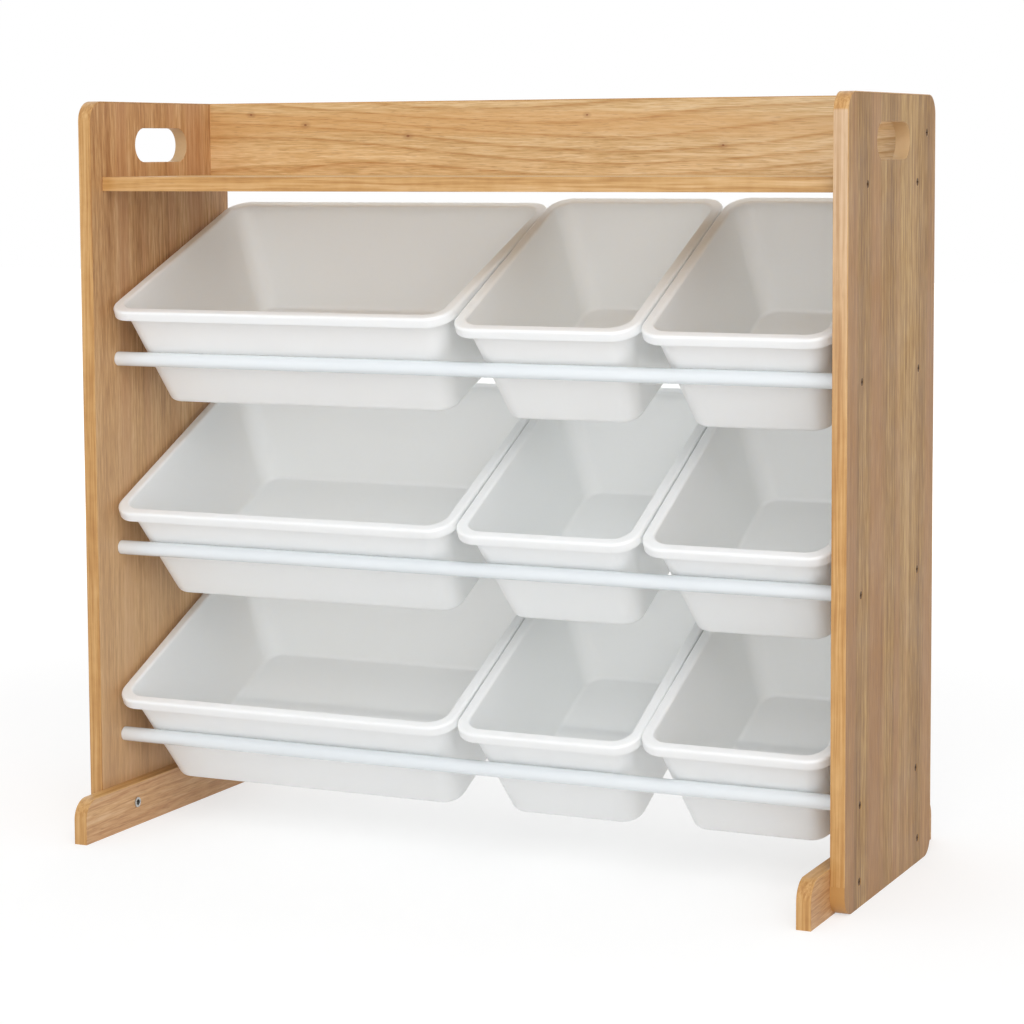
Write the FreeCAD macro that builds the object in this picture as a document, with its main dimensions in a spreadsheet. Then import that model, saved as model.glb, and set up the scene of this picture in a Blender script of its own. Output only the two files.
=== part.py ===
import FreeCAD, Part
import math
import os
import re

import Sketcher

# Toy storage organizer: two side panels, a top shelf with a back rail, two feet
# and three rows of loose bins that lean on pairs of rods.
#
# Row frame, in millimetres: X runs to the right as seen from the front, Y to the
# back and Z up. The origin is on the floor, midway between the panels' outer
# faces and midway between their front and rear edges.

# ---------------------------------------------------------------- driving sizes
# name, value, meaning
DRIVING_SIZES = (
    ("overall_width", 856, "over the side panels' outer faces"),
    ("panel_height", 788, "floor to the panels' top edge"),
    ("panel_depth", 280, "front edge to rear edge of a side panel"),
    ("board", 15, "thickness of every board"),
    ("panel_corner", 21, "radius of the side panels' corners"),
    ("band", 1, "thickness of the edge banding"),
    ("band_round", 0.6, "rounding along the banding's two long edges"),
    ("band_start", 30, "height at which the side panels' banding starts"),
    ("slot_length", 105, "hand slot, along the panel"),
    ("slot_height", 37, "hand slot, from bottom to top"),
    ("slot_drop", 28, "panel's top edge down to the hand slot"),
    ("rail_height", 80.4, "back rail above the shelf"),
    ("rail_inset", 21.5, "panels' rear edge to the rail's rear face"),
    ("shelf_inset", 22.4, "panels' front edge to the shelf's front edge"),
    ("foot_reach", 54.3, "foot past the panel, at the front and at the rear"),
    ("foot_height", 47, "floor to the foot's top"),
    ("foot_corner", 21, "radius of the foot's two top corners"),
    ("rod_front_inset", 45.7, "panels' front edge to the front rods' axis"),
    ("rod_rear_inset", 52.3, "panels' rear edge to the rear rods' axis"),
    ("rod_bottom", 100.6, "floor to the lowest rods' axis"),
    ("sleeve_diameter", 15.4, "outside of a rod's plastic sleeve"),
    ("sleeve_wall", 1.2, "wall of the plastic sleeve"),
    ("sleeve_round", 0.9, "rounding of the sleeve's ends"),
    ("tube_wall", 1, "wall of the steel tube in the sleeve"),
    ("tube_play", 0.1, "between sleeve and tube, and between tube and end plug"),
    ("plug_length", 30, "end plug in each end of the tube"),
    ("screw_diameter", 4.8, "shank of a panel screw"),
    ("screw_length", 40, "head's face to the tip of a panel screw"),
    ("screw_tip", 4, "pointed end of a panel screw"),
    ("head_diameter", 8, "countersunk head of a screw or bolt"),
    ("head_depth", 0.4, "head's face under the panel's outer face"),
    ("hole_play", 0.1, "all round a shank, a head or a dowel in its hole"),
    ("recess_span", 4.6, "cross recess, tip to tip"),
    ("recess_width", 1.1, "width of the cross recess's arms"),
    ("recess_depth", 1.9, "depth of the cross recess"),
    ("shelf_screw_inset", 60, "panels' front and rear edges to the shelf screws"),
    ("rail_screw_rise", 42, "shelf's top to the rail's screw"),
    ("rail_dowel_rise", 16, "shelf's top to the rail's dowel"),
    ("dowel_diameter", 8, "wooden dowel"),
    ("dowel_panel_depth", 10, "dowel in the side panel"),
    ("dowel_board_depth", 18, "dowel in the end of the shelf or rail"),
    ("bolt_diameter", 5, "shank of a foot bolt"),
    ("bolt_length", 24, "head's face to the end of a foot bolt"),
    ("bolt_inset", 45, "panels' front and rear edges to the foot bolts"),
    ("bolt_rise", 25.5, "floor to the foot bolts"),
    ("nut_flange_diameter", 11, "flange of the sleeve nut"),
    ("nut_flange", 1.2, "thickness of that flange, proud of the foot"),
    ("nut_diameter", 7.8, "barrel of the sleeve nut"),
    ("nut_length", 12, "barrel of the sleeve nut inside the foot"),
    ("nut_socket", 6, "hexagonal socket, across its flats"),
    ("nut_socket_depth", 3.5, "depth of the hexagonal socket"),
    ("small_bin_width", 203.4, "rim of a small bin, left to right"),
    ("bin_gap", 1.5, "between two bins' rims"),
    ("row_side_gap", 5.5, "between a row's outer rim and the side panel"),
    ("rim_overhang", 84.2, "rim's length past the two rods, seen from the side"),
    ("hand_gap", 68.9, "height left free over each bin to reach into it"),
    ("shelf_gap", 9.3, "between the top bins' rear rim and the shelf"),
    ("usual_tilt", 26, "lean for which the bins and rows are sized, in degrees"),
    ("wall_lean", 9.5, "lean of a bin's front and rear walls, in degrees"),
    ("side_lean", 8.7, "lean of a bin's side walls, in degrees"),
    ("bin_wall", 2.4, "wall and floor of a bin"),
    ("bin_corner", 21, "radius of a bin's upright corners, outside"),
    ("floor_round", 6, "radius along the bottom of a bin, outside"),
    ("rim_reach", 9.1, "rim's outer edge to the wall under it"),
    ("rim_height", 10.3, "rim's top to the lower edge of its lip"),
    ("rim_top", 3, "thickness of the rim's top"),
    ("rim_lip", 2.4, "thickness of the rim's hanging lip"),
    ("rim_corner", 26.4, "radius of the rim's corners"),
    ("rim_round", 2.9, "rounding over the rim's two top edges"),
    ("seat_gap", 0.3, "between a bin and the rods it leans on"),
)

# Each bin's own lean in degrees: it depends on how the bin was dropped on its rods.
# A shallow bin leans less, because its rim's lip comes to rest on the front rod.
# name, row, place from the left, lean
BINS = (
    ("bin_large_top", "top", 0, 22.4),
    ("bin_small_top_middle", "top", 1, 25.5),
    ("bin_small_top_right", "top", 2, 26.2),
    ("bin_large_middle", "middle", 0, 25.9),
    ("bin_small_middle_middle", "middle", 1, 27.0),
    ("bin_small_middle_right", "middle", 2, 27.8),
    ("bin_large_bottom", "bottom", 0, 25.3),
    ("bin_small_bottom_middle", "bottom", 1, 26.2),
    ("bin_small_bottom_right", "bottom", 2, 24.8),
)

# ---------------------------------------------------------------- derived sizes
# name, formula, meaning
DERIVED_SIZES = (
    ("inner_width", "overall_width - 2 * board", "between the side panels"),
    ("front_edge", "-panel_depth / 2", "Y of the panels' front edge"),
    ("rear_edge", "panel_depth / 2", "Y of the panels' rear edge"),
    ("shelf_top", "panel_height - rail_height", "Z of the shelf's top"),
    ("shelf_front", "front_edge + shelf_inset", "Y of the shelf's front"),
    ("rail_rear", "rear_edge - rail_inset", "Y of the rail's and shelf's rear"),
    ("foot_length", "panel_depth + 2 * foot_reach", "length of a foot"),
    ("rod_front", "front_edge + rod_front_inset", "Y of the front rods"),
    ("rod_rear", "rear_edge - rod_rear_inset", "Y of the rear rods"),
    ("rod_span", "rod_rear - rod_front", "between the two rods of a row"),
    ("tube_diameter", "sleeve_diameter - 2 * sleeve_wall - 2 * tube_play", "steel tube"),
    ("plug_diameter", "tube_diameter - 2 * tube_wall - 2 * tube_play", "end plug"),
    ("head_height", "(head_diameter - screw_diameter) / 2", "cone of a screw's head"),
    ("bolt_head_height", "(head_diameter - bolt_diameter) / 2", "cone of a bolt's head"),
    ("sink_diameter", "head_diameter + 2 * head_depth + 2 * hole_play", "countersink"),
    ("large_bin_width", "inner_width - 2 * row_side_gap - 2 * small_bin_width - 2 * bin_gap",
     "rim of a large bin, filling what the small ones leave"),
    ("bin_length", "(rod_span + rim_overhang) / cos(usual_tilt)", "rim, front to rear"),
    ("seat", "sleeve_diameter / 2 + seat_gap", "rod's axis to the bin's outside"),
    # A leaning bin's rear rim stands this high over its rods, as a fixed part and
    # a part for each millimetre of the bin's depth.
    ("rise_rate", "cos(usual_tilt) - tan(wall_lean) * sin(usual_tilt)", "per depth"),
    ("rise_fixed",
     "(bin_length - rod_span * cos(usual_tilt) - rim_reach + seat / cos(wall_lean)"
     " + tan(wall_lean) * rod_span * sin(usual_tilt)) * sin(usual_tilt) + seat * rise_rate",
     "fixed part"),
    # Three rows share the height between the lowest rods and the shelf, and each
    # bin is as deep as its row leaves it under the hand gap.
    ("row_pitch",
     "(shelf_top - board - rod_bottom - shelf_gap - rise_fixed"
     " + rise_rate * cos(usual_tilt) * hand_gap) / (2 + rise_rate * cos(usual_tilt))",
     "between two rows' rods"),
    ("bin_depth", "(row_pitch - hand_gap) * cos(usual_tilt)", "rim's top to the bottom"),
    ("row_z_bottom", "rod_bottom", "Z of the lowest rods"),
    ("row_z_middle", "rod_bottom + row_pitch", "Z of the middle rods"),
    ("row_z_top", "rod_bottom + 2 * row_pitch", "Z of the highest rods"),
    ("row_left", "row_side_gap - inner_width / 2", "X of each row's left rim edge"),
    ("full_lean", "asin(min(1; (bin_depth - rim_height) / rod_span)) / 1 deg",
     "lean at which a rim's lip rests on the front rod"),
)

ROWS = ("top", "middle", "bottom")
SIDES = (("left", -1), ("right", 1))

doc = FreeCAD.newDocument("ToyOrganizer")
sheet = doc.addObject("Spreadsheet::Sheet", "Sizes")
aliases = set()


def add_cell(alias, content, meaning):
    """Write one named size into the sheet's next row."""
    row = len(aliases) + 1
    sheet.set(f"A{row}", alias)
    sheet.set(f"B{row}", content)
    sheet.set(f"C{row}", meaning)
    sheet.setAlias(f"B{row}", alias)
    aliases.add(alias)


def value(formula):
    """The number that a formula of named sizes gives."""
    return float(sheet.evalExpression(formula))


def bound(formula):
    """The same formula as an object outside the sheet writes it."""
    return re.sub(r"[a-z]\w*", lambda m: "Sizes." + m[0] if m[0] in aliases else m[0], formula)


def bind(thing, **formulas):
    """Bind properties of an object to formulas of named sizes."""
    for name, formula in formulas.items():
        thing.setExpression(name, bound(formula))


def place(thing, x="0", y="0", z="0"):
    """Bind an object's position."""
    for axis, formula in zip("xyz", (x, y, z)):
        thing.setExpression("Placement.Base." + axis, bound(formula))


# ---------------------------------------------------------------- bodies and sketches
def add_body(label, x="0", y="0", z="0"):
    body = doc.addObject("PartDesign::Body", label)
    body.Label = label
    place(body, x, y, z)
    return body


def add_sketch(body, name, plane, offset="0"):
    """An empty sketch on one of the body's own origin planes, or parallel to it."""
    sketch = body.newObject("Sketcher::SketchObject", name)
    support = next(f for f in body.Origin.OriginFeatures if f.Role == plane)
    sketch.AttachmentSupport = [(support, "")]
    sketch.MapMode = "FlatFace"
    sketch.setExpression("AttachmentOffset.Base.z", bound(offset))
    return sketch


def fix_point(sketch, geometry, point, x, y):
    """Bind one point of a sketch to a pair of formulas."""
    for kind, formula in (("DistanceX", x), ("DistanceY", y)):
        rule = Sketcher.Constraint(kind, -1, 1, geometry, point, value(formula))
        index = sketch.addConstraint(rule)
        sketch.setExpression(f"Constraints[{index}]", bound(formula))


def draw_polygon(sketch, corners):
    """A closed outline through corners that are pairs of formulas."""
    points = [FreeCAD.Vector(value(x), value(y), 0) for x, y in corners]
    ends = points[1:] + points[:1]
    for start, end in zip(points, ends):
        sketch.addGeometry(Part.LineSegment(start, end))
    for index, (x, y) in enumerate(corners):
        following = (index + 1) % len(corners)
        sketch.addConstraint(Sketcher.Constraint("Coincident", index, 2, following, 1))
        fix_point(sketch, index, 1, x, y)


def draw_rectangle(sketch, x0, y0, x1, y1):
    draw_polygon(sketch, ((x0, y0), (x1, y0), (x1, y1), (x0, y1)))


def draw_circles(sketch, centres, diameter):
    """Equal circles at centres that are pairs of formulas."""
    for x, y in centres:
        centre = FreeCAD.Vector(value(x), value(y), 0)
        circle = Part.Circle(centre, FreeCAD.Vector(0, 0, 1), value(diameter) / 2)
        geometry = sketch.addGeometry(circle)
        fix_point(sketch, geometry, 3, x, y)
        index = sketch.addConstraint(Sketcher.Constraint("Diameter", geometry, value(diameter)))
        sketch.setExpression(f"Constraints[{index}]", bound(diameter))


def draw_round_outline(sketch, centres, radius):
    """A closed outline of equal arcs round centres, given counterclockwise as pairs
    of formulas, joined by their common tangents."""
    count = len(centres)
    points = [FreeCAD.Vector(value(x), value(y), 0) for x, y in centres]
    up = FreeCAD.Vector(0, 0, 1)
    reach = value(radius)
    outward = [(points[(i + 1) % count] - points[i]).cross(up).normalize() * reach
               for i in range(count)]
    for i, centre in enumerate(points):
        start = math.atan2(outward[i - 1].y, outward[i - 1].x)
        end = math.atan2(outward[i].y, outward[i].x)
        if end <= start:
            end += 2 * math.pi
        sketch.addGeometry(Part.ArcOfCircle(Part.Circle(centre, up, reach), start, end))
    for i, centre in enumerate(points):
        following = points[(i + 1) % count]
        sketch.addGeometry(Part.LineSegment(centre + outward[i], following + outward[i]))
    for i, (x, y) in enumerate(centres):
        line = count + i
        sketch.addConstraint(Sketcher.Constraint("Tangent", i, 2, line, 1))
        sketch.addConstraint(Sketcher.Constraint("Tangent", line, 2, (i + 1) % count, 1))
        fix_point(sketch, i, 3, x, y)
        if i:
            sketch.addConstraint(Sketcher.Constraint("Equal", 0, i))
    index = sketch.addConstraint(Sketcher.Constraint("Radius", 0, reach))
    sketch.setExpression(f"Constraints[{index}]", bound(radius))


def draw_stadium(sketch, middle_y, length, height):
    """A slot with half-round ends, across the sketch's vertical axis."""
    offset = f"({length} - {height}) / 2"
    draw_round_outline(sketch, ((offset, middle_y), (f"-{offset}", middle_y)), f"{height} / 2")


# ---------------------------------------------------------------- features
def add_pad(body, sketch, length, along_normal=True):
    pad = body.newObject("PartDesign::Pad", sketch.Name + "Pad")
    pad.Profile = sketch
    pad.Reversed = not along_normal
    bind(pad, Length=length)
    doc.recompute()
    return pad


def add_cut(body, sketch, depth, along_normal=False):
    """A pocket that must take material away."""
    before = body.Tip.Shape.Volume
    pocket = body.newObject("PartDesign::Pocket", sketch.Name + "Cut")
    pocket.Profile = sketch
    pocket.Reversed = along_normal
    bind(pocket, Length=depth)
    doc.recompute()
    if not pocket.Shape.Volume < before:
        raise RuntimeError(f"{pocket.Name} cuts nothing")
    return pocket


def add_fillet(body, name, radius, chosen):
    """Round the edges of the body's last feature that a test chooses."""
    base = body.Tip
    edges = [f"Edge{i}" for i, edge in enumerate(base.Shape.Edges, 1) if chosen(edge)]
    if not edges:
        raise RuntimeError(f"{name} finds no edge")
    fillet = body.newObject("PartDesign::Fillet", name)
    fillet.Base = (base, edges)
    bind(fillet, Radius=radius)
    doc.recompute()
    return fillet


def add_mirror(body, features, plane):
    """Repeat features on the other side of one of the body's origin planes."""
    mirror = body.newObject("PartDesign::Mirrored", body.Name + "Mirror")
    support = next(f for f in body.Origin.OriginFeatures if f.Role == plane)
    mirror.Originals = features
    mirror.MirrorPlane = (support, [""])
    body.Tip = mirror
    doc.recompute()
    return mirror


def near(first, second):
    return abs(first - second) < 1e-3


def at(edge, **places):
    """Whether every point that bounds an edge lies at the given coordinates."""
    return all(near(getattr(vertex.Point, axis), place)
               for vertex in edge.Vertexes for axis, place in places.items())


# ---------------------------------------------------------------- boards and banding
def screw_places():
    """Y and Z of every screw that goes through a side panel, by what it holds."""
    rods = [(y, f"row_z_{row}") for row in ROWS for y in ("rod_front", "rod_rear")]
    shelf = [(y, "shelf_top - board / 2")
             for y in ("front_edge + shelf_screw_inset", "rear_edge - shelf_screw_inset")]
    rail = [("rail_rear - board / 2", "shelf_top + rail_screw_rise")]
    feet = [(y, "bolt_rise") for y in ("front_edge + bolt_inset", "rear_edge - bolt_inset")]
    return {"rod": rods, "shelf": shelf, "rail": rail, "foot": feet}


DOWEL_PLACES = {
    "shelf": ("0", "shelf_top - board / 2"),
    "rail": ("rail_rear - board / 2", "shelf_top + rail_dowel_rise"),
}


def add_panel(side, sign):
    """A side panel, without its edge banding. X = 0 is its inner face."""
    body = add_body(f"side_panel_{side}", x=f"{sign} * inner_width / 2")
    outline = add_sketch(body, f"panel_outline_{side}", "YZ_Plane")
    draw_polygon(outline, (
        ("front_edge", "0"),
        ("rear_edge", "0"),
        ("rear_edge", "band_start"),
        ("rear_edge - band", "band_start"),
        ("rear_edge - band", "panel_height - band"),
        ("front_edge + band", "panel_height - band"),
        ("front_edge + band", "band_start"),
        ("front_edge", "band_start"),
    ))
    add_pad(body, outline, "board", along_normal=sign > 0)
    add_fillet(body, f"panel_lower_corners_{side}", "panel_corner",
               lambda e: at(e, z=0) and near(abs(e.CenterOfMass.y), value("rear_edge")))
    top = value("panel_height - band")
    corner_y = value("rear_edge - band")
    add_fillet(body, f"panel_upper_corners_{side}", "panel_corner - band",
               lambda e: at(e, z=top) and near(abs(e.CenterOfMass.y), corner_y))

    slot = add_sketch(body, f"hand_slot_{side}", "YZ_Plane")
    draw_stadium(slot, "panel_height - slot_drop - slot_height / 2",
                 "slot_length", "slot_height")
    add_cut(body, slot, "board", along_normal=sign > 0)
    middle = value("panel_height - slot_drop - slot_height / 2")
    reach = value("slot_length / 2")
    add_fillet(body, f"hand_slot_edges_{side}", "band_round",
               lambda e: (at(e, x=0) or at(e, x=sign * value("board")))
               and abs(e.CenterOfMass.y) < reach and abs(e.CenterOfMass.z - middle) < reach)

    dowels = add_sketch(body, f"panel_dowels_{side}", "YZ_Plane")
    draw_circles(dowels, DOWEL_PLACES.values(), "dowel_diameter + 2 * hole_play")
    add_cut(body, dowels, "dowel_panel_depth + hole_play", along_normal=sign > 0)

    before = body.Tip.Shape.Volume
    centres = add_sketch(body, f"panel_screws_{side}", "YZ_Plane", f"{sign} * board")
    draw_circles(centres, [p for group in screw_places().values() for p in group],
                 "screw_diameter")
    doc.recompute()
    holes = body.newObject("PartDesign::Hole", f"panel_screw_holes_{side}")
    holes.Profile = centres
    doc.recompute()
    holes.DepthType = "ThroughAll"
    holes.Reversed = sign < 0
    holes.HoleCutType = "Countersink"
    holes.HoleCutCustomValues = True
    holes.HoleCutCountersinkAngle = 90
    bind(holes, Diameter="max(screw_diameter; bolt_diameter) + 2 * hole_play",
         HoleCutDiameter="sink_diameter")
    doc.recompute()
    if not holes.Shape.Volume < before:
        raise RuntimeError("the panel's screw holes cut nothing")
    return body


def add_arch_band(label, x, sign, half, top, foot, corner):
    """Banding over a board's front, top and rear edges, from one foot to the other."""
    body = add_body(label, x=x)
    outline = add_sketch(body, f"{label}_outline", "YZ_Plane")
    draw_polygon(outline, (
        (f"-({half})", foot),
        (f"-({half}) + band", foot),
        (f"-({half}) + band", f"{top} - band"),
        (f"{half} - band", f"{top} - band"),
        (f"{half} - band", foot),
        (half, foot),
        (half, top),
        (f"-({half})", top),
    ))
    add_pad(body, outline, "board", along_normal=sign > 0)
    outer_y = value(half)
    outer_z = value(top)
    inner_y = value(f"{half} - band")
    inner_z = value(f"{top} - band")
    add_fillet(body, f"{label}_outer_corners", corner,
               lambda e: at(e, z=outer_z) and near(abs(e.CenterOfMass.y), outer_y))
    add_fillet(body, f"{label}_inner_corners", f"{corner} - band",
               lambda e: at(e, z=inner_z) and near(abs(e.CenterOfMass.y), inner_y))
    far = sign * value("board")
    inside = value(f"{corner} - band")

    def on_outer_line(edge):
        """Whether an edge on one of the two faces follows the banding's outside."""
        if not (at(edge, x=0) or at(edge, x=far)) or edge.Length < 2 * value("band"):
            return False
        if hasattr(edge.Curve, "Radius"):
            return edge.Curve.Radius > inside + value("band") / 2
        return near(abs(edge.CenterOfMass.y), outer_y) or near(edge.CenterOfMass.z, outer_z)

    add_fillet(body, f"{label}_round", "band_round", on_outer_line)
    return body


def add_panel_band(side, sign):
    add_arch_band(f"side_panel_{side}_edge_band", f"{sign} * inner_width / 2", sign,
                  "panel_depth / 2", "panel_height", "band_start", "panel_corner")


def add_foot(side, sign):
    """A foot on the inside of a side panel. X = 0 is the face against the panel."""
    body = add_body(f"foot_{side}", x=f"{sign} * inner_width / 2")
    outline = add_sketch(body, f"foot_outline_{side}", "YZ_Plane")
    draw_rectangle(outline, "-foot_length / 2 + band", "0",
                   "foot_length / 2 - band", "foot_height - band")
    add_pad(body, outline, "board", along_normal=sign < 0)
    top = value("foot_height - band")
    end = value("foot_length / 2 - band")
    add_fillet(body, f"foot_corners_{side}", "foot_corner - band",
               lambda e: at(e, z=top) and near(abs(e.CenterOfMass.y), end))
    places = screw_places()["foot"]
    bolts = add_sketch(body, f"foot_bolt_holes_{side}", "YZ_Plane")
    draw_circles(bolts, places, "bolt_diameter + 2 * hole_play")
    add_cut(body, bolts, "board", along_normal=sign < 0)
    nuts = add_sketch(body, f"foot_nut_holes_{side}", "YZ_Plane", f"{-sign} * board")
    draw_circles(nuts, places, "nut_diameter + 2 * hole_play")
    add_cut(body, nuts, "nut_length + hole_play", along_normal=sign > 0)
    return body


def add_foot_band(side, sign):
    add_arch_band(f"foot_{side}_edge_band", f"{sign} * inner_width / 2", -sign,
                  "foot_length / 2", "foot_height", "0", "foot_corner")


def add_end_holes(body, name, screws, dowel):
    """Pilot holes and a dowel hole in both ends of a board that spans the panels."""
    pilots = add_sketch(body, f"{name}_pilots", "YZ_Plane", "inner_width / 2")
    draw_circles(pilots, screws, "screw_diameter + 2 * hole_play")
    pilot_cut = add_cut(body, pilots, "screw_length - board + head_depth + 1")
    dowels = add_sketch(body, f"{name}_dowel_holes", "YZ_Plane", "inner_width / 2")
    draw_circles(dowels, [dowel], "dowel_diameter + 2 * hole_play")
    dowel_cut = add_cut(body, dowels, "dowel_board_depth + hole_play")
    add_mirror(body, [pilot_cut, dowel_cut], "YZ_Plane")


def add_shelf():
    """The top shelf. Z = 0 is its underside."""
    body = add_body("top_shelf", z="shelf_top - board")
    outline = add_sketch(body, "shelf_outline", "XY_Plane")
    draw_rectangle(outline, "-inner_width / 2", "shelf_front + band",
                   "inner_width / 2", "rail_rear")
    add_pad(body, outline, "board")
    drop = "shelf_top - board"
    screws = [(y, f"{z} - ({drop})") for y, z in screw_places()["shelf"]]
    y, z = DOWEL_PLACES["shelf"]
    add_end_holes(body, "shelf", screws, (y, f"{z} - ({drop})"))


def add_rail():
    """The back rail, standing on the shelf. Z = 0 is the shelf's top."""
    body = add_body("back_rail", z="shelf_top")
    outline = add_sketch(body, "rail_outline", "XY_Plane")
    draw_rectangle(outline, "-inner_width / 2", "rail_rear - board",
                   "inner_width / 2", "rail_rear")
    add_pad(body, outline, "rail_height - band")
    screws = [(y, f"{z} - shelf_top") for y, z in screw_places()["rail"]]
    y, z = DOWEL_PLACES["rail"]
    add_end_holes(body, "rail", screws, (y, f"{z} - shelf_top"))


def add_strip(label, y, z, depth, height, rounded):
    """Straight banding between the panels, its two outer long edges rounded."""
    body = add_body(label, y=y, z=z)
    outline = add_sketch(body, f"{label}_outline", "XY_Plane")
    draw_rectangle(outline, "-inner_width / 2", "0", "inner_width / 2", depth)
    add_pad(body, outline, height)
    add_fillet(body, f"{label}_round", "band_round",
               lambda e: e.Length > value("inner_width") - 1 and rounded(e.CenterOfMass))


# ---------------------------------------------------------------- rods
def add_rod(name, y, z):
    """One rod: a steel tube in a plastic sleeve, from panel to panel."""
    start = "-inner_width / 2"
    body = add_body(f"rod_sleeve_{name}", y=y, z=z)
    ring = add_sketch(body, f"sleeve_ring_{name}", "YZ_Plane", start)
    draw_circles(ring, [("0", "0")], "sleeve_diameter")
    add_pad(body, ring, "inner_width")
    radius = value("sleeve_diameter / 2")
    add_fillet(body, f"sleeve_ends_{name}", "sleeve_round",
               lambda e: hasattr(e.Curve, "Radius") and near(e.Curve.Radius, radius))
    bore = add_sketch(body, f"sleeve_bore_{name}", "YZ_Plane", start)
    draw_circles(bore, [("0", "0")], "sleeve_diameter - 2 * sleeve_wall")
    add_cut(body, bore, "inner_width", along_normal=True)

    tube = add_body(f"rod_tube_{name}", y=y, z=z)
    wall = add_sketch(tube, f"tube_ring_{name}", "YZ_Plane", start)
    draw_circles(wall, [("0", "0")], "tube_diameter")
    add_pad(tube, wall, "inner_width")
    inside = add_sketch(tube, f"tube_bore_{name}", "YZ_Plane", start)
    draw_circles(inside, [("0", "0")], "tube_diameter - 2 * tube_wall")
    add_cut(tube, inside, "inner_width", along_normal=True)


def add_cylinder(name, diameter, height, base="0"):
    cylinder = doc.addObject("Part::Cylinder", name)
    bind(cylinder, Radius=f"({diameter}) / 2", Height=height)
    place(cylinder, z=base)
    return cylinder


def add_cone(name, lower, upper, height, base="0"):
    cone = doc.addObject("Part::Cone", name)
    bind(cone, Radius1=f"({lower}) / 2", Radius2=f"({upper}) / 2", Height=height)
    place(cone, z=base)
    return cone


def add_join(name, parts):
    join = doc.addObject("Part::MultiFuse", name)
    join.Shapes = parts
    return join


def add_difference(name, base, tool):
    cut = doc.addObject("Part::Cut", name)
    cut.Base = base
    cut.Tool = tool
    return cut


def add_group(label, members):
    """Equal separate pieces that share one node."""
    group = doc.addObject("Part::Compound", label)
    group.Label = label
    group.Links = members
    return group


def turn_outward(thing, sign):
    """Turn a piece whose head looks up so that its head looks out of the panel."""
    thing.Placement.Rotation = FreeCAD.Rotation(FreeCAD.Vector(0, 1, 0), sign * 90)


def add_plug(name, sign, y, z):
    """The plug in one end of a rod's tube, bored for the panel screw."""
    outside = add_cylinder(f"{name}_outside", "plug_diameter", "plug_length")
    bore = add_cylinder(f"{name}_bore", "screw_diameter + 2 * hole_play", "plug_length")
    plug = add_difference(name, outside, bore)
    turn_outward(plug, sign)
    place(plug, f"{sign} * (inner_width / 2 - plug_length)", y, z)
    return plug


# ---------------------------------------------------------------- fasteners
def add_recess(name):
    """The cross recess in a head: two crossed bars that end at the head's face."""
    bars = []
    for tag, long_side, short_side in (("a", "Length", "Width"), ("b", "Width", "Length")):
        bar = doc.addObject("Part::Box", f"{name}_{tag}")
        bind(bar, **{long_side: "recess_span", short_side: "recess_width",
                     "Height": "recess_depth"})
        spans = {long_side: "recess_span", short_side: "recess_width"}
        place(bar, f"-{spans['Length']} / 2", f"-{spans['Width']} / 2", "-recess_depth")
        bars.append(bar)
    return add_join(name, bars)


def add_screw(name, sign, y, z):
    """A countersunk panel screw. Its head's face is at the top, before it is turned."""
    head = add_cone(f"{name}_head", "screw_diameter", "head_diameter", "head_height",
                    "-head_height")
    shank = add_cylinder(f"{name}_shank", "screw_diameter",
                         "screw_length - head_height - screw_tip",
                         "screw_tip - screw_length")
    tip = add_cone(f"{name}_tip", "screw_diameter / 6", "screw_diameter", "screw_tip",
                   "-screw_length")
    solid = add_join(f"{name}_solid", [head, shank, tip])
    screw = add_difference(name, solid, add_recess(f"{name}_recess"))
    turn_outward(screw, sign)
    place(screw, f"{sign} * (overall_width / 2 - head_depth)", y, z)
    return screw


def add_bolt(name, sign, y, z):
    """A countersunk bolt that draws a foot against its panel."""
    head = add_cone(f"{name}_head", "bolt_diameter", "head_diameter", "bolt_head_height",
                    "-bolt_head_height")
    shank = add_cylinder(f"{name}_shank", "bolt_diameter",
                         "bolt_length - bolt_head_height", "-bolt_length")
    solid = add_join(f"{name}_solid", [head, shank])
    bolt = add_difference(name, solid, add_recess(f"{name}_recess"))
    turn_outward(bolt, sign)
    place(bolt, f"{sign} * (overall_width / 2 - head_depth)", y, z)
    return bolt


def add_nut(name, sign, y, z):
    """A flanged sleeve nut in a foot's inner face, its flange at the bottom."""
    flange = add_cylinder(f"{name}_flange", "nut_flange_diameter", "nut_flange",
                          "-nut_flange")
    barrel = add_cylinder(f"{name}_barrel", "nut_diameter", "nut_length")
    solid = add_join(f"{name}_solid", [flange, barrel])
    bore = add_cylinder(f"{name}_bore", "bolt_diameter + 2 * hole_play",
                        "nut_length + nut_flange", "-nut_flange")
    socket = doc.addObject("Part::Prism", f"{name}_socket")
    socket.Polygon = 6
    bind(socket, Circumradius="nut_socket / 2 / cos(30)", Height="nut_socket_depth")
    place(socket, z="-nut_flange")
    nut = add_difference(name, solid, add_join(f"{name}_hollow", [bore, socket]))
    turn_outward(nut, sign)
    place(nut, f"{sign} * (inner_width / 2 - board)", y, z)
    return nut


def add_dowel(name, sign, y, z):
    dowel = add_cylinder(name, "dowel_diameter", "dowel_panel_depth + dowel_board_depth")
    turn_outward(dowel, sign)
    place(dowel, f"{sign} * (inner_width / 2 - dowel_board_depth)", y, z)
    return dowel


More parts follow.
